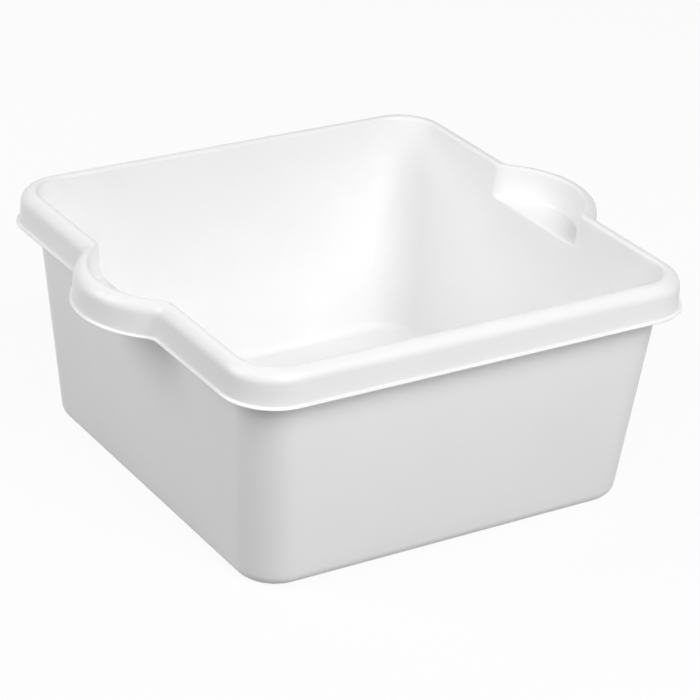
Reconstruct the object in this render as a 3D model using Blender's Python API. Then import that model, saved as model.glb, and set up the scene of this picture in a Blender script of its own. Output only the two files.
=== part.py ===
"""Washing-up basin: one moulded shell with a turned-down rim, two grips and two finger pockets.

Metres, +Z up. The origin is the middle of the standing face, and X runs through the two grips.
The shell is one skin of rings: from the standing face up the outside, over the rim, and down
the inside to the floor. A ring is a rounded rectangle whose two X sides may bulge into a grip.
"""

import math
from dataclasses import dataclass

import bmesh
import bpy
import numpy as np

# Overall sizes
HEIGHT = 0.150
RIM_LENGTH = 0.3084  # along X, lip to lip, beside the grips
RIM_WIDTH = 0.3118  # along Y, lip to lip
RIM_CORNER_RADIUS = 0.032

# Body
WALL_DRAFT = math.radians(5.05)
WALL_THICKNESS = 0.0020
FLOOR_THICKNESS = 0.0022
BODY_CORNER_RADIUS = 0.0255
BOTTOM_EDGE_RADIUS = 0.0088
FLOOR_EDGE_RADIUS = 0.0065
FOOT_WIDTH = 0.008
BASE_RECESS = 0.0010
RECESS_SLOPE_WIDTH = 0.0015

# Rim
RIM_OVERHANG = 0.0121  # from the outside of the wall to the lip, at the height of the lip
LIP_DROP = 0.0214  # from the top of the rim down to the lip
FLANGE_WIDTH = 0.0018  # how far the flange round the lip stands out from the skirt
FLANGE_HEIGHT = 0.0020  # from the lip up to where the flange's hollow meets the skirt
LIP_EDGE_RADIUS = 0.0005
SKIRT_LEAN = 0.0006
SKIRT_THICKNESS = 0.0020
SHOULDER_RADIUS = 0.0076
INNER_EDGE_RADIUS = 0.0022
TOP_THICKNESS = 0.0020

# Grips and finger pockets
GRIP_REACH = 0.0231  # how far the middle of a grip stands out from its side
GRIP_RADIUS = 0.057
GRIP_BLEND_RADIUS = 0.0090
POCKET_RADIUS = 0.0515
POCKET_BLEND_RADIUS = 0.0100
POCKET_DEPTH = 0.0210  # from the top of the rim down to the ledge
LEDGE_RISE = 0.0006  # the ledge falls this much towards the bowl
LEDGE_THICKNESS = 0.0020
LEDGE_BACK_RADIUS = 0.0015
LEDGE_FRONT_RADIUS = 0.0016
LEDGE_UNDER_RADIUS = 0.0010

# Steps of the curves
CORNER_STEPS = 8
GRIP_STEPS = 7
BLEND_STEPS = 3
EDGE_STEPS = 3
SHOULDER_STEPS = 5
SMOOTH_ANGLE = math.radians(40)

LIP_HEIGHT = HEIGHT - LIP_DROP
LEDGE_HEIGHT = HEIGHT - POCKET_DEPTH
DRAFT = math.tan(WALL_DRAFT)


@dataclass(frozen=True)
class Outline:
    """A ring seen from above: a rounded rectangle with one round grip on each X side."""

    half_x: float
    half_y: float
    corner: float
    grip: float
    blend: float

    def inset(self, distance):
        """The parallel outline, this far nearer the middle."""
        return Outline(
            self.half_x - distance,
            self.half_y - distance,
            self.corner - distance,
            self.grip - distance,
            self.blend + distance,
        )

    def towards(self, other, share):
        """The outline that lies this share of the way to another."""
        mine = np.array([self.half_x, self.half_y, self.corner, self.grip, self.blend])
        theirs = np.array([other.half_x, other.half_y, other.corner, other.grip, other.blend])
        return Outline(*(mine + share * (theirs - mine)))


def arc(centre, radius, start, end, steps):
    """Points on a circle from one angle to another, both ends included."""
    angles = np.linspace(start, end, steps + 1)
    return np.column_stack([centre[0] + radius * np.cos(angles), centre[1] + radius * np.sin(angles)])


def grip_curve(outline):
    """Half a grip, from its middle to where it meets the side: an arc, then a hollow blend."""
    middle = outline.half_x + GRIP_REACH - outline.grip
    across = outline.half_x + outline.blend - middle
    along = math.sqrt((outline.grip + outline.blend) ** 2 - across**2)
    turn = math.atan2(along, across)
    bulge = arc((middle, 0), outline.grip, 0, turn, GRIP_STEPS)
    blend = arc((middle + across, along), outline.blend, math.pi + turn, math.pi, BLEND_STEPS)
    return np.vstack([bulge, blend[1:]])


def corner_curve(outline):
    """A quarter of the rounded rectangle, from the end of the X side to the middle of the Y side."""
    centre = (outline.half_x - outline.corner, outline.half_y - outline.corner)
    quarter = arc(centre, outline.corner, 0, math.pi / 2, CORNER_STEPS)
    return np.vstack([quarter, [(0, outline.half_y)]])


def all_round(quarter):
    """The whole ring, mirrored from its quarter at +X and +Y."""
    half = np.vstack([quarter, quarter[-2::-1] * (-1, 1)])
    return np.vstack([half, half[-2:0:-1] * (1, -1)])


def rim_ring(outline, height):
    """A ring whose X sides carry the grips."""
    flat = all_round(np.vstack([grip_curve(outline), corner_curve(outline)]))
    return np.column_stack([flat, np.full(len(flat), height)])


def wall_ring(outline, height, depth_of=None):
    """A ring with plain X sides, pushed out into the pockets by what depth_of makes of their depth."""
    grip = grip_curve(outline)
    depth = grip[:, 0] - outline.half_x
    side = outline.half_x + (depth_of(depth) if depth_of else np.zeros_like(depth))
    flat = all_round(np.vstack([np.column_stack([side, grip[:, 1]]), corner_curve(outline)]))
    return np.column_stack([flat, np.full(len(flat), height)])


def wall_at(height, inset):
    """The outline of the wall at a height, inset from its outside."""
    spread = RIM_OVERHANG + DRAFT * (LIP_HEIGHT - height)
    outside = Outline(
        RIM_LENGTH / 2 - spread,
        RIM_WIDTH / 2 - spread,
        BODY_CORNER_RADIUS,
        POCKET_RADIUS + WALL_THICKNESS,
        POCKET_BLEND_RADIUS - WALL_THICKNESS,
    )
    return outside.inset(inset)


def quarter_turn(steps):
    """Angles from 0 to 90 degrees, both ends left out."""
    return np.linspace(0, math.pi / 2, steps + 1)[1:-1]


def bottom_edge(radius, inset, floor, steps):
    """Rings of a round edge between a level floor and the leaning wall, from the floor outwards."""
    centre_height = floor + radius
    reach = radius / math.cos(WALL_DRAFT)
    rings = []
    for angle in np.linspace(-math.pi / 2, -WALL_DRAFT, steps + 1):
        outline = wall_at(centre_height, inset).inset(reach - radius * math.cos(angle))
        rings.append(wall_ring(outline, centre_height + radius * math.sin(angle)))
    return rings


def ledge_step(inset, height, inner_radius, outer_radius):
    """Rings up the wall, out along the ledge, and up the back of the pocket.

    Away from the pockets the ledge has no width, and the same rings just climb the wall.
    """
    rings = []

    def add(level, depth_of):
        rings.append(wall_ring(wall_at(level, inset), level, depth_of))

    def near(size):
        return lambda depth: np.minimum(size, depth / 2)

    add(height - inner_radius, None)
    for angle in quarter_turn(EDGE_STEPS):
        edge = near(inner_radius)
        push = 1 - math.cos(angle)
        add(height - inner_radius * (1 - math.sin(angle)), lambda d, e=edge, p=push: p * e(d))
    add(height, near(inner_radius))
    top = height + LEDGE_RISE
    add(top, lambda d: d - near(outer_radius)(d))
    for angle in quarter_turn(EDGE_STEPS):
        edge = near(outer_radius)
        push = 1 - math.sin(angle)
        add(top + outer_radius * (1 - math.cos(angle)), lambda d, e=edge, p=push: d - p * e(d))
    add(top + outer_radius, lambda d: d)
    return rings


def rim_rings():
    """Rings over the rim, from under its top, round the lip and the shoulder, to the inner edge."""
    lip = Outline(RIM_LENGTH / 2, RIM_WIDTH / 2, RIM_CORNER_RADIUS, GRIP_RADIUS, GRIP_BLEND_RADIUS)
    edge = wall_at(HEIGHT - INNER_EDGE_RADIUS, WALL_THICKNESS)
    band = lip.half_x - edge.half_x

    def inset(offset):
        return lip.towards(edge, offset / band)

    under = HEIGHT - TOP_THICKNESS
    shoulder = FLANGE_WIDTH + SKIRT_LEAN
    bend = min(SHOULDER_RADIUS, band - INNER_EDGE_RADIUS - shoulder)
    shoulder_height = HEIGHT - bend
    skirt_inside = inset(shoulder).inset(SKIRT_THICKNESS)
    wall_outside = wall_at(under, 0)
    rings = [wall_ring(wall_outside, under, lambda d: d)]
    for angle in quarter_turn(SHOULDER_STEPS)[::-1]:
        outline = skirt_inside.towards(wall_outside, 1 - math.cos(angle))
        level = shoulder_height + (under - shoulder_height) * math.sin(angle)
        rings.append(rim_ring(outline, level))
    rings.append(rim_ring(skirt_inside, shoulder_height))

    foot = inset(FLANGE_WIDTH).inset(SKIRT_THICKNESS)
    edge_top = 2 * LIP_EDGE_RADIUS
    rings.append(rim_ring(foot, LIP_HEIGHT + LIP_EDGE_RADIUS))
    rings.append(rim_ring(foot.inset(-LIP_EDGE_RADIUS), LIP_HEIGHT))
    rings.append(rim_ring(lip.inset(LIP_EDGE_RADIUS), LIP_HEIGHT))
    rings.append(rim_ring(lip, LIP_HEIGHT + LIP_EDGE_RADIUS))
    for angle in np.linspace(0, math.pi / 2, EDGE_STEPS + 1):
        offset = LIP_EDGE_RADIUS + (FLANGE_WIDTH - LIP_EDGE_RADIUS) * math.sin(angle)
        level = LIP_HEIGHT + edge_top + (FLANGE_HEIGHT - edge_top) * (1 - math.cos(angle))
        rings.append(rim_ring(inset(offset), level))

    rings.append(rim_ring(inset(shoulder), shoulder_height))
    for angle in quarter_turn(SHOULDER_STEPS):
        outline = inset(shoulder + bend * (1 - math.cos(angle)))
        rings.append(rim_ring(outline, shoulder_height + bend * math.sin(angle)))
    rings.append(rim_ring(inset(shoulder + bend), HEIGHT))
    for angle in np.linspace(math.pi / 2, 0, EDGE_STEPS + 1)[:-1]:
        outline = inset(band - INNER_EDGE_RADIUS * (1 - math.cos(angle)))
        level = HEIGHT - INNER_EDGE_RADIUS * (1 - math.sin(angle))
        rings.append(rim_ring(outline, level))
    rings.append(rim_ring(edge, HEIGHT - INNER_EDGE_RADIUS))
    return rings


def basin_rings():
    """Every ring of the shell, from the middle of the base to the middle of the floor."""
    floor = BASE_RECESS + FLOOR_THICKNESS
    rings = bottom_edge(BOTTOM_EDGE_RADIUS, 0, 0, EDGE_STEPS + 1)
    standing = wall_at(BOTTOM_EDGE_RADIUS, 0).inset(BOTTOM_EDGE_RADIUS / math.cos(WALL_DRAFT))
    foot = standing.inset(FOOT_WIDTH)
    rings.insert(0, wall_ring(foot, 0))
    rings.insert(0, wall_ring(foot.inset(RECESS_SLOPE_WIDTH), BASE_RECESS))

    under_ledge = LEDGE_HEIGHT - LEDGE_THICKNESS
    outer_radius = LEDGE_BACK_RADIUS + WALL_THICKNESS
    rings += ledge_step(0, under_ledge, LEDGE_UNDER_RADIUS, outer_radius)
    rings += rim_rings()
    inside = ledge_step(WALL_THICKNESS, LEDGE_HEIGHT, LEDGE_FRONT_RADIUS, LEDGE_BACK_RADIUS)
    rings += inside[::-1]
    rings += bottom_edge(FLOOR_EDGE_RADIUS, WALL_THICKNESS, floor, EDGE_STEPS + 1)[::-1]
    return rings


def skin(name, rings):
    """A closed mesh through the rings, with a flat face at each end."""
    mesh = bpy.data.meshes.new(name)
    bm = bmesh.new()
    loops = [[bm.verts.new(point) for point in ring] for ring in rings]
    for lower, upper in zip(loops, loops[1:]):
        for i, j in zip(range(len(lower)), [*range(1, len(lower)), 0]):
            bm.faces.new((lower[i], lower[j], upper[j], upper[i]))
    bm.faces.new(loops[0][::-1])
    bm.faces.new(loops[-1])
    bmesh.ops.recalc_face_normals(bm, faces=bm.faces)
    bm.to_mesh(mesh)
    bm.free()
    mesh.shade_smooth()
    mesh.set_sharp_from_angle(angle=SMOOTH_ANGLE)
    return mesh


def plastic(name, color, roughness):
    """A plain moulded plastic."""
    material = bpy.data.materials.new(name)
    material.use_nodes = True
    shader = material.node_tree.nodes["Principled BSDF"]
    shader.inputs["Base Color"].default_value = (*color, 1)
    shader.inputs["Roughness"].default_value = roughness
    shader.inputs["Metallic"].default_value = 0
    return material


def build():
    for old in list(bpy.data.objects):
        bpy.data.objects.remove(old, do_unlink=True)
    basin = bpy.data.objects.new("basin", skin("basin", basin_rings()))
    basin.data.materials.append(plastic("white_polypropylene", (0.86, 0.86, 0.86), 0.42))
    bpy.context.scene.collection.objects.link(basin)


build()
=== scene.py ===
"""The looks of a white washing-up basin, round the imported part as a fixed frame.

The part's one node is replaced by a finer skin of the same shape: one moulded shell with a
turned-down rim, two grips and two finger pockets. Metres, +Z up, and the origin is the middle
of the standing face. X runs through the grips.
"""

import math

import bpy
import numpy as np
from mathutils import Matrix, Vector


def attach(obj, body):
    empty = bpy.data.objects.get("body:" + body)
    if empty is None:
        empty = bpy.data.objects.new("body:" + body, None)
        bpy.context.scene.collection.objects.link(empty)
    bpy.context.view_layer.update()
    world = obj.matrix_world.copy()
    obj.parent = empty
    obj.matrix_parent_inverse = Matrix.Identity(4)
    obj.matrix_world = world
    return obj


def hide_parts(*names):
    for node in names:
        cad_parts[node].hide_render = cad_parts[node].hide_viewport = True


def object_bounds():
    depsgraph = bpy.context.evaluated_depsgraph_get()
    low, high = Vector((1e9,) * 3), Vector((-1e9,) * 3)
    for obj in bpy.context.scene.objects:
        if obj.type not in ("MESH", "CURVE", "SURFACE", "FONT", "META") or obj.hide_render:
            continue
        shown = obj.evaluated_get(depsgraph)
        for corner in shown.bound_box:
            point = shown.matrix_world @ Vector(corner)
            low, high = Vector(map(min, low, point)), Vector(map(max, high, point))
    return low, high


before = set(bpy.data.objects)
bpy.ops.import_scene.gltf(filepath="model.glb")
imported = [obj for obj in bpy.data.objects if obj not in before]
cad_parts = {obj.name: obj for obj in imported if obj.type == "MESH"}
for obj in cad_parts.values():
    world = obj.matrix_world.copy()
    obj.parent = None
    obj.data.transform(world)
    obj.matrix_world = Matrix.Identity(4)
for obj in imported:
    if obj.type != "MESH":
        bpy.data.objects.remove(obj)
cad_low, cad_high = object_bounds()

# Overall sizes, from the frame
HEIGHT = cad_high.z
RIM_WIDTH = 2 * cad_high.y
GRIP_REACH = 0.0231  # how far the middle of a grip stands out from its side
RIM_LENGTH = 2 * (cad_high.x - GRIP_REACH)

# Body
WALL_DRAFT = math.radians(5.05)
WALL_THICKNESS = 0.0020
FLOOR_THICKNESS = 0.0022
BODY_CORNER_RADIUS = 0.0255
BOTTOM_EDGE_RADIUS = 0.0088
FLOOR_EDGE_RADIUS = 0.0065
FOOT_WIDTH = 0.008
BASE_RECESS = 0.0010
RECESS_SLOPE_WIDTH = 0.0015

# Rim
RIM_CORNER_RADIUS = 0.032
RIM_OVERHANG = 0.0121
LIP_DROP = 0.0214
FLANGE_WIDTH = 0.0018  # how far the flange round the lip stands out from the skirt
FLANGE_HEIGHT = 0.0020  # from the lip up to where the flange's hollow meets the skirt
LIP_EDGE_RADIUS = 0.0005
SKIRT_LEAN = 0.0006
SKIRT_THICKNESS = 0.0020
SHOULDER_RADIUS = 0.0076
INNER_EDGE_RADIUS = 0.0022
TOP_THICKNESS = 0.0020

# Grips and finger pockets
GRIP_RADIUS = 0.057
GRIP_BLEND_RADIUS = 0.0090
POCKET_RADIUS = 0.0515
POCKET_BLEND_RADIUS = 0.0100
POCKET_DEPTH = 0.0210
LEDGE_RISE = 0.0006
LEDGE_THICKNESS = 0.0020
LEDGE_BACK_RADIUS = 0.0015
LEDGE_FRONT_RADIUS = 0.0016
LEDGE_UNDER_RADIUS = 0.0010

# The gate's mark in the middle of the base, where the plastic went into the mould
GATE_RADIUS = 0.0065
GATE_DEPTH = 0.0005
NUB_RADIUS = 0.0011
NUB_CUT = 0.5  # radius of the nub's flat cut, as a share of the nub's own
NUB_FOOT_RADIUS = 0.0014
NUB_HEIGHT = 0.0006
FLOOR_MIDDLE = 0.004  # radius of the innermost ring of the floor

LIP_HEIGHT = HEIGHT - LIP_DROP
LEDGE_HEIGHT = HEIGHT - POCKET_DEPTH
DRAFT = math.tan(WALL_DRAFT)

# Wear, from 0 to 1. On the rim's lip, flange, skirt, shoulder and crown the same values also set a
# painted shade.
FLOOR_WEAR = 0.35
SKIRT_WEAR_AND_SHADE = 0.6

# Steps along each stretch of a quarter ring, and across each stretch of the profile
GRIP_STEPS, BLEND_STEPS, SIDE_STEPS, CORNER_STEPS, FRONT_STEPS = 30, 12, 12, 32, 14
EDGE_STEPS, ROUND_STEPS, WALL_STEPS, FLAT_STEPS, DISC_STEPS = 6, 12, 14, 8, 12

# Colour of the plastic, as shares of white
PALER_TONE = 0.929
DARKER_TONE = 0.913
# The rubbed tone is partly painted shade: on the rim's crown, shoulder, skirt and lip it darkens
# the faces that the lamps light most.
RUBBED_AND_SHADED_TONE = 0.855
BLUSH_SHARE = 0.35  # how far the blush goes towards the rubbed tone

# Noises: lumps to the metre and steps of detail, and the stretch of the noise that is spread out
CLOUDS, CLOUD_STRETCH = (19.0, 3.0), (0.32, 0.68)
PATCHES, PATCH_STRETCH = (95.0, 4.0), (0.32, 0.66)
GRAINS, GRAIN_STRETCH = (1500.0, 2.0), (0.3, 0.7)
WAVES = (13.0, 1.0)
SCRATCHES, SCRATCH_CREST = (1.0, 2.0), (0.60, 0.68)  # of a place drawn out by the next line
SCRATCH_SPREAD = (28.0, 1300.0, 1300.0)  # lumps to the metre along a scratch, and across it
SCRATCH_TURNS = (math.radians(12), math.radians(74))
# The rub's patches also break up the rim's painted shade.
LEAST_RUB_AND_SHADE = 0.7  # what is left of the rub between its patches
BLUSH_RADIUS = 0.024
BLUSH_TOP = (0.004, 0.006)  # the blush fades out between these heights, above the inside floor

# Gloss and relief of the plastic
REFRACTIVE_INDEX = 1.49
ROUGHNESS = (0.36, 0.44)  # over the grain
RUBBED_ROUGHNESS = -0.07  # these three are added to it
SCRATCHED_ROUGHNESS = 0.10
BLUSHED_ROUGHNESS = -0.06
WAVE_STRENGTH, WAVE_HEIGHT = 0.2, 0.001
GRAIN_STRENGTH, GRAIN_HEIGHT = 0.12, 0.0001
SCRATCH_DEPTH = -0.6  # in heights of the grain

# The photograph's camera
CAMERA_AZIMUTH = math.radians(-32.97)
CAMERA_ELEVATION = math.radians(26.06)
CAMERA_ROLL = math.radians(3.09)
CAMERA_DISTANCE = 1.7387
CAMERA_TARGET = Vector((0.0075, -0.0017, 0.0679))
CAMERA_LENS, SENSOR_WIDTH = 145.66, 36  # millimetres
CAMERA_REACH = (0.05, 100)  # the nearest and the furthest that it shows

# What the camera and the gloss see of the studio. White is 1.
BACKGROUND = 0.973
FLOOR_WHITE = 0.99
FLOOR_PLAIN_SHARE = 0.94  # how much of the floor is plain white, with no shadow
FLOOR_TONE = 0.9  # the rest of it, which takes the shadow

# What lights the basin. A share of 1 lights it as a plain white sky all round would.
SKY_SHARE = 0.04
FLOOR_BOUNCE = 0.36  # the floor's tone for the light that it throws back
SOFTBOX_SIZE = 1.2
SOFTBOX_DISTANCE = 1.7
SOFTBOX_AIM = Vector((0, 0, 0.08))
SOFTBOXES = {  # azimuth from +X towards +Y and elevation, both in degrees, and share
    "key": (272, 39, 0.735),
    "side_fill": (159, 32, 0.465),
    "back_fill": (80, 45, 0.11),
    "right_fill": (0, 58, 0.07),
}

FLOOR_REACH = 30  # from the middle of the studio's floor to each side
FLOOR_GAP = 0.0001  # how far the studio's floor lies below the standing face


# Outlines. An outline is a tuple of half X, half Y, corner radius, grip radius and blend radius.

def wall(height, inset=0.0):
    """The wall's outline at a height: it widens by the draft, and is set in from the outside."""
    spread = RIM_OVERHANG + DRAFT * (LIP_HEIGHT - height) + inset
    return (
        RIM_LENGTH / 2 - spread,
        RIM_WIDTH / 2 - spread,
        BODY_CORNER_RADIUS - inset,
        POCKET_RADIUS + WALL_THICKNESS - inset,
        POCKET_BLEND_RADIUS - WALL_THICKNESS + inset,
    )


def nearer(outline, distance):
    """The parallel outline, this far nearer the middle: only the hollow blend's radius grows."""
    half_x, half_y, corner, grip, blend = outline
    return (half_x - distance, half_y - distance, corner - distance, grip - distance,
            blend + distance)


def between(outline, other, share):
    """The outline at this share of the way from one outline to another."""
    return tuple(a + share * (b - a) for a, b in zip(outline, other))


# The profile. A row is one ring of the skin, and a table of rows is one stretch of the profile.

def rows(height, outline, follow=0.0, push=0.0, edge=0.0, scale=1.0, circle=0.0, wear_and_shade=0.0):
    """A table of rows, one for each height.

    Its columns are these arguments in this order, with the outline's five numbers in its place.
    The X sides bulge by follow * d + push * min(edge, d / 2), where d is how far the outline's
    grip stands out from the side. Scale shrinks the ring to the middle, and circle makes it
    round, both from 0 to 1. The last column is how much the surface is rubbed in use, from 0 to 1;
    on the rim's lip, flange, skirt, shoulder and crown it also sets a painted shade.
    """
    columns = (height, *outline, follow, push, edge, scale, circle, wear_and_shade)
    return np.stack(np.broadcast_arrays(*columns), axis=-1)


def bottom_edge(radius, inset, floor, wear_and_shade):
    """A round edge between a level floor and the leaning wall: a circle's arc, from the floor out.

    The wear is greatest half way up the arc: it goes with the square of the sine of twice the
    angle.
    """
    angle = np.linspace(-math.pi / 2, -WALL_DRAFT, ROUND_STEPS + 1)
    centre = floor + radius
    distance = radius / math.cos(WALL_DRAFT) - radius * np.cos(angle)
    return rows(centre + radius * np.sin(angle), nearer(wall(centre, inset), distance),
                wear_and_shade=wear_and_shade * np.sin(2 * -angle) ** 2)


def ledge_step(inset, height, inner_radius, outer_radius):
    """Up the wall, out along the ledge by the pocket's depth, and up the back of the pocket.

    Two quarter circles join the three. Away from the pockets the ledge has no width, and the
    same rows just climb the wall.
    """
    angle = np.linspace(0, math.pi / 2, EDGE_STEPS + 1)
    level = height - inner_radius * (1 - np.sin(angle))
    front = rows(level, wall(level, inset), push=1 - np.cos(angle), edge=inner_radius)
    share = np.linspace(0, 1, FLAT_STEPS + 1)[1:-1]
    level = height + LEDGE_RISE * share
    flat = rows(level, wall(level, inset), follow=share,
                push=1 - share - share * outer_radius / inner_radius, edge=inner_radius)
    level = height + LEDGE_RISE + outer_radius * (1 - np.cos(angle))
    back = rows(level, wall(level, inset), follow=1, push=np.sin(angle) - 1, edge=outer_radius)
    return np.vstack([front, flat, back])


def rim():
    """From under the rim's top, round the skirt and the lip, over the shoulder, to the inner edge.

    It is made of straight runs and of quarters of circles and ellipses. A row's outline is set
    in by an offset, which is 0 at the lip and the rim's whole breadth at the inside of the wall.
    """
    lip = (RIM_LENGTH / 2, RIM_WIDTH / 2, RIM_CORNER_RADIUS, GRIP_RADIUS, GRIP_BLEND_RADIUS)
    inner = wall(HEIGHT - INNER_EDGE_RADIUS, WALL_THICKNESS)
    breadth = lip[0] - inner[0]
    shoulder = FLANGE_WIDTH + SKIRT_LEAN
    shoulder_height = HEIGHT - SHOULDER_RADIUS
    under = HEIGHT - TOP_THICKNESS

    def inset(offset):
        return between(lip, inner, offset / breadth)

    quarter = np.linspace(0, math.pi / 2, ROUND_STEPS + 1)
    falling = quarter[::-1]
    inside = nearer(inset(shoulder), SKIRT_THICKNESS)
    hollow = rows(shoulder_height + (under - shoulder_height) * np.sin(falling),
                  between(inside, wall(under), 1 - np.cos(falling)), follow=1)

    share = np.linspace(0, 1, FLAT_STEPS + 1)[1:]
    foot = nearer(inset(FLANGE_WIDTH), SKIRT_THICKNESS)
    edge_height = LIP_HEIGHT + LIP_EDGE_RADIUS
    level = shoulder_height + (edge_height - shoulder_height) * share
    skirt_inside = rows(level, between(inside, foot, share), follow=1)

    turn = np.linspace(0, math.pi / 2, EDGE_STEPS + 1)[1:]
    low = LIP_HEIGHT + LIP_EDGE_RADIUS * (1 - np.sin(turn))
    foot_edge = rows(low, nearer(foot, -LIP_EDGE_RADIUS * (1 - np.cos(turn))), follow=1)
    turn = np.linspace(-math.pi / 2, math.pi / 2, 2 * EDGE_STEPS + 1)
    # From the lip to the inner edge, the last column is rubbing and also a painted shade that
    # darkens these brightly lit faces.
    lip_edge = rows(edge_height + LIP_EDGE_RADIUS * np.sin(turn),
                    inset(LIP_EDGE_RADIUS * (1 - np.cos(turn))), follow=1, wear_and_shade=np.cos(turn))

    turn = quarter[1:]
    edge_top = 2 * LIP_EDGE_RADIUS
    foot_height = LIP_HEIGHT + FLANGE_HEIGHT
    flange = rows(LIP_HEIGHT + edge_top + (FLANGE_HEIGHT - edge_top) * (1 - np.cos(turn)),
                  inset(LIP_EDGE_RADIUS + (FLANGE_WIDTH - LIP_EDGE_RADIUS) * np.sin(turn)),
                  follow=1, wear_and_shade=np.maximum(np.cos(turn), SKIRT_WEAR_AND_SHADE))
    level = foot_height + (shoulder_height - foot_height) * share
    skirt = rows(level, inset(FLANGE_WIDTH + SKIRT_LEAN * share), follow=1, wear_and_shade=SKIRT_WEAR_AND_SHADE)

    shoulder_round = rows(shoulder_height + SHOULDER_RADIUS * np.sin(turn),
                          inset(shoulder + SHOULDER_RADIUS * (1 - np.cos(turn))), follow=1,
                          wear_and_shade=np.maximum(np.sin(turn), SKIRT_WEAR_AND_SHADE))
    turn = np.linspace(math.pi / 2, 0, EDGE_STEPS + 1)
    inner_edge = rows(HEIGHT - INNER_EDGE_RADIUS * (1 - np.sin(turn)),
                      inset(breadth - INNER_EDGE_RADIUS * (1 - np.cos(turn))), follow=1,
                      wear_and_shade=np.sin(turn))
    return np.vstack([hollow, skirt_inside, foot_edge, lip_edge, flange, skirt, shoulder_round,
                      inner_edge])


def level_disc(outline, height, nearest, wear_and_shade=0.0):
    """Rows of a level floor, from this far out from the middle to the outline.

    The rings are the outline's, scaled by a share, and the smaller they are, the rounder.
    """
    share = np.linspace(nearest / outline[1], 1, DISC_STEPS + 1)[:-1]
    return rows(height, outline, scale=share, circle=1 - share * share, wear_and_shade=wear_and_shade)


def gate(outline, height):
    """Rows of the mark that the mould's gate leaves in the middle of the base.

    At a distance d from the middle, as a share of the mark, the base is hollowed by
    depth * (1 - d^2)^2. The nub in it is a short cone, cut off flat.
    """
    cut = NUB_RADIUS * np.array([NUB_CUT, 1.0])
    nub = rows(height + GATE_DEPTH - NUB_HEIGHT, outline, scale=cut / outline[1], circle=1, wear_and_shade=1)
    share = np.linspace(NUB_FOOT_RADIUS / GATE_RADIUS, 1, FLAT_STEPS + 1)[:-1]
    hollow = rows(height + GATE_DEPTH * (1 - share * share) ** 2, outline,
                  scale=GATE_RADIUS * share / outline[1], circle=1)
    return np.vstack([nub, hollow])


def climb(low, high, inset):
    """Rows up the wall between two heights, both ends left out."""
    level = np.linspace(low, high, WALL_STEPS + 1)[1:-1]
    return rows(level, wall(level, inset))


def profile():
    """Every row of the skin: the base, the outside, the rim, the inside and the floor.

    The base slopes down to the standing face by a smooth step, s^2 * (3 - 2 * s).
    """
    floor = BASE_RECESS + FLOOR_THICKNESS
    outside_edge = bottom_edge(BOTTOM_EDGE_RADIUS, 0, 0, wear_and_shade=1)
    standing = nearer(wall(BOTTOM_EDGE_RADIUS), BOTTOM_EDGE_RADIUS / math.cos(WALL_DRAFT))
    foot = nearer(standing, FOOT_WIDTH)
    share = np.linspace(1, 0, EDGE_STEPS + 1)
    slope = rows(BASE_RECESS * share * share * (3 - 2 * share),
                 nearer(foot, RECESS_SLOPE_WIDTH * share))
    recess = nearer(foot, RECESS_SLOPE_WIDTH)
    base = np.vstack([gate(recess, BASE_RECESS), level_disc(recess, BASE_RECESS, GATE_RADIUS)])

    under_ledge = ledge_step(0, LEDGE_HEIGHT - LEDGE_THICKNESS, LEDGE_UNDER_RADIUS,
                             LEDGE_BACK_RADIUS + WALL_THICKNESS)
    ledge = ledge_step(WALL_THICKNESS, LEDGE_HEIGHT, LEDGE_FRONT_RADIUS, LEDGE_BACK_RADIUS)
    floor_edge = bottom_edge(FLOOR_EDGE_RADIUS, WALL_THICKNESS, floor, wear_and_shade=0)
    floor_outline = tuple(floor_edge[0, 1:6])
    return np.vstack([
        base,
        slope,
        outside_edge,
        climb(outside_edge[-1, 0], under_ledge[0, 0], 0),
        under_ledge,
        rim(),
        ledge[::-1],
        climb(floor_edge[-1, 0], ledge[0, 0], WALL_THICKNESS)[::-1],
        floor_edge[::-1],
        level_disc(floor_outline, floor, FLOOR_MIDDLE, wear_and_shade=FLOOR_WEAR)[::-1],
    ])


def rings(table):
    """Points of every row, as an array of rows by stations by XYZ.

    A quarter of a ring is the grip's arc, its hollow blend, the rest of the X side, the corner's
    arc and the Y side, each a function of a share from 0 to 1. The quarter is mirrored twice.
    """
    height, half_x, half_y, corner, grip, blend, follow, push, edge, scale, circle = (
        table[:, :-1, None].swapaxes(0, 1))

    def share(steps):
        return np.linspace(0, 1, steps + 1)[None, :-1]

    middle = half_x + GRIP_REACH - grip
    across = half_x + blend - middle
    along = np.sqrt((grip + blend) ** 2 - across**2)
    turn = np.arctan2(along, across)
    angle = turn * share(GRIP_STEPS)
    bulge = middle + grip * np.cos(angle), grip * np.sin(angle)
    angle = math.pi + turn * (1 - share(BLEND_STEPS))
    hollow = middle + across + blend * np.cos(angle), along + blend * np.sin(angle)
    side_y = along + (half_y - corner - along) * share(SIDE_STEPS)
    side = half_x + 0 * side_y, side_y
    angle = math.pi / 2 * share(CORNER_STEPS)
    turned = half_x - corner + corner * np.cos(angle), half_y - corner + corner * np.sin(angle)
    front_x = (half_x - corner) * (1 - np.linspace(0, 1, FRONT_STEPS + 1)[None])
    front = front_x, half_y + 0 * front_x

    grip_x, grip_y = (np.hstack(pair) for pair in zip(bulge, hollow))
    depth = grip_x - half_x
    grip_x = half_x + follow * depth + push * np.minimum(edge, depth / 2)
    x = np.hstack([grip_x, side[0], turned[0], front[0]])
    y = np.hstack([grip_y, side[1], turned[1], front[1]])
    angle = np.arctan2(y, x)
    x = scale * (x + circle * (half_y * np.cos(angle) - x))
    y = scale * (y + circle * (half_y * np.sin(angle) - y))
    x = np.hstack([x, -x[:, -2::-1]])
    y = np.hstack([y, y[:, -2::-1]])
    x = np.hstack([x, x[:, -2:0:-1]])
    y = np.hstack([y, -y[:, -2:0:-1]])
    return np.stack([x, y, height + 0 * x], axis=-1)


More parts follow.
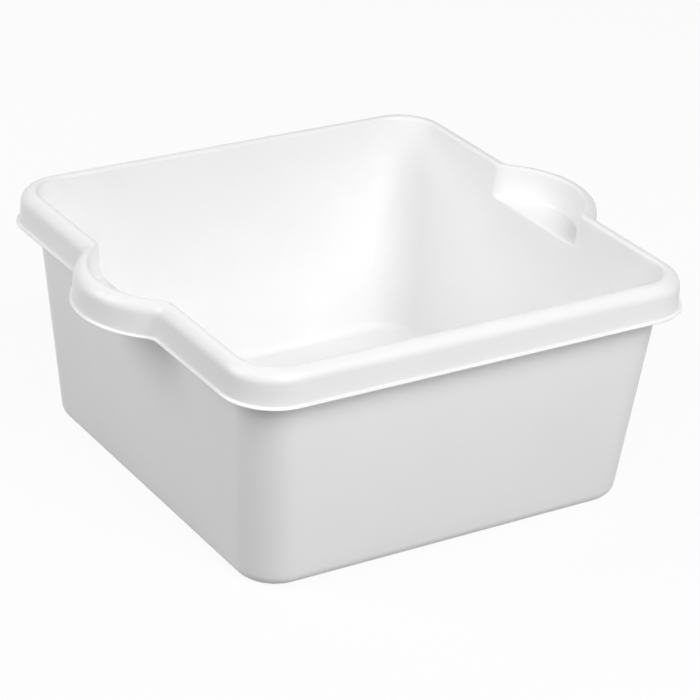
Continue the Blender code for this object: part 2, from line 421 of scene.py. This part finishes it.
def skin(name, table):
    """A closed mesh through the rings, with a point in the middle of the base and of the floor.

    Four neighbouring points make a face, and a ring of triangles closes each end. An attribute
    carries the last column of the rows: the wear, and on the rim the painted shade.
    """
    points = rings(table)
    count, around = points.shape[:2]
    number = np.arange(count * around).reshape(count, around)
    ahead = np.roll(number, -1, axis=1)
    quads = np.stack([number[:-1], ahead[:-1], ahead[1:], number[1:]], axis=-1).reshape(-1, 4)
    poles = number.size, number.size + 1
    below = np.stack([ahead[0], number[0], np.full(around, poles[0])], axis=-1)
    above = np.stack([number[-1], ahead[-1], np.full(around, poles[1])], axis=-1)
    ends = [(0, 0, table[0, 0]), (0, 0, table[-1, 0])]
    mesh = bpy.data.meshes.new(name)
    mesh.from_pydata(np.vstack([points.reshape(-1, 3), ends]), [],
                     quads.tolist() + below.tolist() + above.tolist())
    wear_and_shade_values = np.append(np.repeat(table[:, -1], around), table[[0, -1], -1])
    wear_and_shade = mesh.attributes.new("wear_and_shade", "FLOAT", "POINT")
    wear_and_shade.data.foreach_set("value", wear_and_shade_values.astype(np.float32))
    mesh.shade_smooth()
    mesh.validate()
    return mesh


# Materials

def join(tree, value, socket):
    """Feeds a socket from another socket, or sets it to a plain value."""
    if isinstance(value, bpy.types.NodeSocket):
        tree.links.new(value, socket)
    else:
        socket.default_value = value


def add(tree, kind, settings=None, **values):
    """A new node in a tree, with its properties and the values of its sockets set."""
    made = tree.nodes.new("ShaderNode" + kind)
    for name, value in (settings or {}).items():
        setattr(made, name, value)
    for name, value in values.items():
        join(tree, value, made.inputs[name.replace("_", " ")])
    return made


def grey(tone):
    """A grey as a colour with its alpha."""
    return tone, tone, tone, 1


def colours(tree, share, first, second):
    """The colour at this share of the way from one colour to another."""
    made = add(tree, "Mix", {"data_type": "RGBA"})
    join(tree, share, made.inputs["Factor"])
    ends = [socket for socket in made.inputs if socket.type == "RGBA"]
    for value, socket in zip((first, second), ends):
        join(tree, value, socket)
    return made.outputs["Result"]


def shaders(tree, share, first, second, output):
    """Feeds an output from the mix of two shaders, this share of it the second."""
    made = add(tree, "MixShader")
    for value, socket in zip((share, first, second), made.inputs):
        join(tree, value, socket)
    tree.links.new(made.outputs[0], tree.nodes[output].inputs["Surface"])


def combined(tree, operation, *values):
    """What a Math node makes of two values."""
    made = add(tree, "Math", {"operation": operation})
    for value, socket in zip(values, made.inputs):
        join(tree, value, socket)
    return made.outputs[0]


def times(tree, one, other):
    """The product of two values."""
    return combined(tree, "MULTIPLY", one, other)


def plus(tree, one, other):
    """The sum of two values."""
    return combined(tree, "ADD", one, other)


def in_range(tree, value, stretch, to_low=0.0, to_high=1.0):
    """A value spread from one stretch, a low and a high, to another, and clamped at both ends."""
    return add(tree, "MapRange", Value=value, From_Min=stretch[0], From_Max=stretch[1],
               To_Min=to_low, To_Max=to_high).outputs[0]


def noise(tree, place, scale, detail):
    """A cloudy noise of this many lumps to the metre, from 0 to 1."""
    return add(tree, "TexNoise", Vector=place, Scale=scale, Detail=detail).outputs[0]


def scratches(tree, place, turn):
    """Fine straight scratches: noise drawn out along one direction, with only its crests kept."""
    drawn = add(tree, "Mapping", Vector=place, Rotation=(0, 0, turn), Scale=SCRATCH_SPREAD)
    return in_range(tree, noise(tree, drawn.outputs[0], *SCRATCHES), SCRATCH_CREST)


def blush(tree, place):
    """A blush round the gate, through the base: 1 at the gate's mark, and fading out from it."""
    flat = add(tree, "VectorMath", {"operation": "MULTIPLY"})
    tree.links.new(place, flat.inputs[0])
    flat.inputs[1].default_value = (1, 1, 0)
    away = add(tree, "VectorMath", {"operation": "LENGTH"}, Vector=flat.outputs[0])
    height = add(tree, "SeparateXYZ", Vector=place).outputs["Z"]
    return times(tree, in_range(tree, away.outputs["Value"], (GATE_RADIUS, BLUSH_RADIUS), 1.0, 0.0),
                 in_range(tree, height, BLUSH_TOP, 1.0, 0.0))


def new_material(name):
    """A material and its tree, with the Principled shader that it starts with."""
    material = bpy.data.materials.new(name)
    material.use_nodes = True
    return material, material.node_tree, material.node_tree.nodes["Principled BSDF"]


def polypropylene():
    """Satin white polypropylene: finely grained, cloudy by a hair, and rubbed where it is handled.

    The rim, its skirt and the standing edge are rubbed a little smoother and darker in colour, in
    patches. On the rim's crown, shoulder, skirt and lip that darker colour is partly painted shade,
    which tones down the faces that the lamps light most. Wherever it is worn, and so on the floor
    too, the plastic carries fine scratches.
    Round the gate it has a faint blush, and slow waves run over all of it, as on a moulded wall.
    """
    material, tree, shader = new_material("white_polypropylene")
    place = add(tree, "TexCoord").outputs["Object"]
    wear_and_shade = add(tree, "Attribute", {"attribute_name": "wear_and_shade"}).outputs["Fac"]

    patches = in_range(tree, noise(tree, place, *PATCHES), PATCH_STRETCH, LEAST_RUB_AND_SHADE, 1.0)
    # The rubbed mask: rubbing in patches, and on the rim's crown, shoulder, skirt and lip also a
    # painted shade.
    rubbed_and_shaded = times(tree, in_range(tree, wear_and_shade, (FLOOR_WEAR, 1.0)), patches)
    marks = combined(tree, "MAXIMUM", *(scratches(tree, place, turn) for turn in SCRATCH_TURNS))
    scratched = times(tree, wear_and_shade, marks)
    blushed = blush(tree, place)

    clouds = in_range(tree, noise(tree, place, *CLOUDS), CLOUD_STRETCH)
    tone = colours(tree, clouds, grey(DARKER_TONE), grey(PALER_TONE))
    # The colour darkens towards the rubbed tone where rubbed and blushed; on the rim this darkening
    # is partly painted shade.
    shaded_rubbed_or_blushed = plus(tree, rubbed_and_shaded, times(tree, blushed, BLUSH_SHARE))
    tree.links.new(colours(tree, shaded_rubbed_or_blushed, tone, grey(RUBBED_AND_SHADED_TONE)), shader.inputs["Base Color"])

    grain = noise(tree, place, *GRAINS)
    rough = in_range(tree, grain, GRAIN_STRETCH, *ROUGHNESS)
    for effect, change in ((rubbed_and_shaded, RUBBED_ROUGHNESS), (scratched, SCRATCHED_ROUGHNESS),
                           (blushed, BLUSHED_ROUGHNESS)):
        rough = plus(tree, rough, times(tree, effect, change))
    tree.links.new(rough, shader.inputs["Roughness"])
    shader.inputs["IOR"].default_value = REFRACTIVE_INDEX

    waves = add(tree, "Bump", Strength=WAVE_STRENGTH, Distance=WAVE_HEIGHT,
                Height=noise(tree, place, *WAVES)).outputs[0]
    relief = plus(tree, grain, times(tree, scratched, SCRATCH_DEPTH))
    fine = add(tree, "Bump", Strength=GRAIN_STRENGTH, Distance=GRAIN_HEIGHT, Height=relief,
               Normal=waves).outputs[0]
    tree.links.new(fine, shader.inputs["Normal"])
    return material


def seen_or_reflected(tree):
    """1 for what the camera sees, straight, in gloss or through glass, and 0 for other light."""
    path = add(tree, "LightPath")
    seen = path.outputs["Is Camera Ray"]
    for ray in ("Is Glossy Ray", "Is Transmission Ray"):
        seen = combined(tree, "MAXIMUM", seen, path.outputs[ray])
    return seen


def studio_floor():
    """A pale floor. What is seen of it is plain white for the most part, so its shadow is faint."""
    material, tree, shader = new_material("studio_floor")
    shader.inputs["Roughness"].default_value = 1
    shader.inputs["Specular IOR Level"].default_value = 0
    white = add(tree, "Emission", Color=grey(FLOOR_WHITE), Strength=1)
    seen = seen_or_reflected(tree)
    tone = colours(tree, seen, grey(FLOOR_BOUNCE), grey(FLOOR_TONE))
    tree.links.new(tone, shader.inputs["Base Color"])
    shaders(tree, times(tree, seen, FLOOR_PLAIN_SHARE), shader.outputs[0], white.outputs[0],
            "Material Output")
    return material


def link_object(name, data):
    """A new object of this data in the scene, at the origin."""
    made = bpy.data.objects.new(name, data)
    bpy.context.scene.collection.objects.link(made)
    return made


def camera():
    """Looks at the target from the photograph's azimuth and elevation, rolled about the view."""
    a, e = CAMERA_AZIMUTH, CAMERA_ELEVATION
    back = Vector((math.sin(a) * math.cos(e), -math.cos(a) * math.cos(e), math.sin(e)))
    level = Vector((math.cos(a), math.sin(a), 0))
    upright = back.cross(level)
    right = math.cos(CAMERA_ROLL) * level + math.sin(CAMERA_ROLL) * upright
    up = back.cross(right)
    data = bpy.data.cameras.new("camera")
    data.lens = CAMERA_LENS
    data.sensor_width = SENSOR_WIDTH
    data.clip_start, data.clip_end = CAMERA_REACH
    made = link_object("camera", data)
    made.matrix_world = Matrix.Translation(CAMERA_TARGET + CAMERA_DISTANCE * back) @ Matrix(
        (right, up, back)).transposed().to_4x4()
    bpy.context.scene.camera = made


def softbox(name, azimuth, elevation, share):
    """A round softbox aimed at the middle of the basin.

    Face on, it lights the basin as much as this share of a plain white sky all round would. Its
    power is share * pi^2 * r^2 / f, where f, the part of that sky's light that a disk of radius r
    at distance d gives, is r^2 / (r^2 + d^2).
    """
    a, e = math.radians(azimuth), math.radians(elevation)
    towards = Vector((math.cos(a) * math.cos(e), math.sin(a) * math.cos(e), math.sin(e)))
    radius = SOFTBOX_SIZE / 2
    fills = radius**2 / (radius**2 + SOFTBOX_DISTANCE**2)
    data = bpy.data.lights.new(name, "AREA")
    data.shape = "DISK"
    data.size = SOFTBOX_SIZE
    data.energy = share * math.pi**2 * radius**2 / fills
    made = link_object(name, data)
    made.matrix_world = Matrix.Translation(SOFTBOX_AIM + SOFTBOX_DISTANCE * towards) @ (
        towards.to_track_quat("Z", "Y").to_matrix().to_4x4())
    made.visible_camera = False


def studio():
    """A pale floor, a dim even sky that the camera and the gloss see as white, and softboxes."""
    floor = bpy.data.meshes.new("floor")
    corners = [(x * FLOOR_REACH, y * FLOOR_REACH, -FLOOR_GAP)
               for x, y in ((-1, -1), (1, -1), (1, 1), (-1, 1))]
    floor.from_pydata(corners, [], [(0, 1, 2, 3)])
    floor.materials.append(studio_floor())
    link_object("floor", floor)

    world = bpy.data.worlds.new("studio")
    bpy.context.scene.world = world
    world.use_nodes = True
    tree = world.node_tree
    light = tree.nodes["Background"]
    light.inputs["Strength"].default_value = SKY_SHARE
    light.inputs["Color"].default_value = grey(1)
    white = add(tree, "Background", Color=grey(BACKGROUND), Strength=1)
    shaders(tree, seen_or_reflected(tree), light.outputs[0], white.outputs[0], "World Output")

    for name, (azimuth, elevation, share) in SOFTBOXES.items():
        softbox(name, azimuth, elevation, share)


basin = link_object("basin_shell", skin("basin_shell", profile()))
basin.data.materials.append(polypropylene())
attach(basin, "root")
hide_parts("basin")

camera()
studio()
bpy.context.scene.view_settings.view_transform = "Standard"
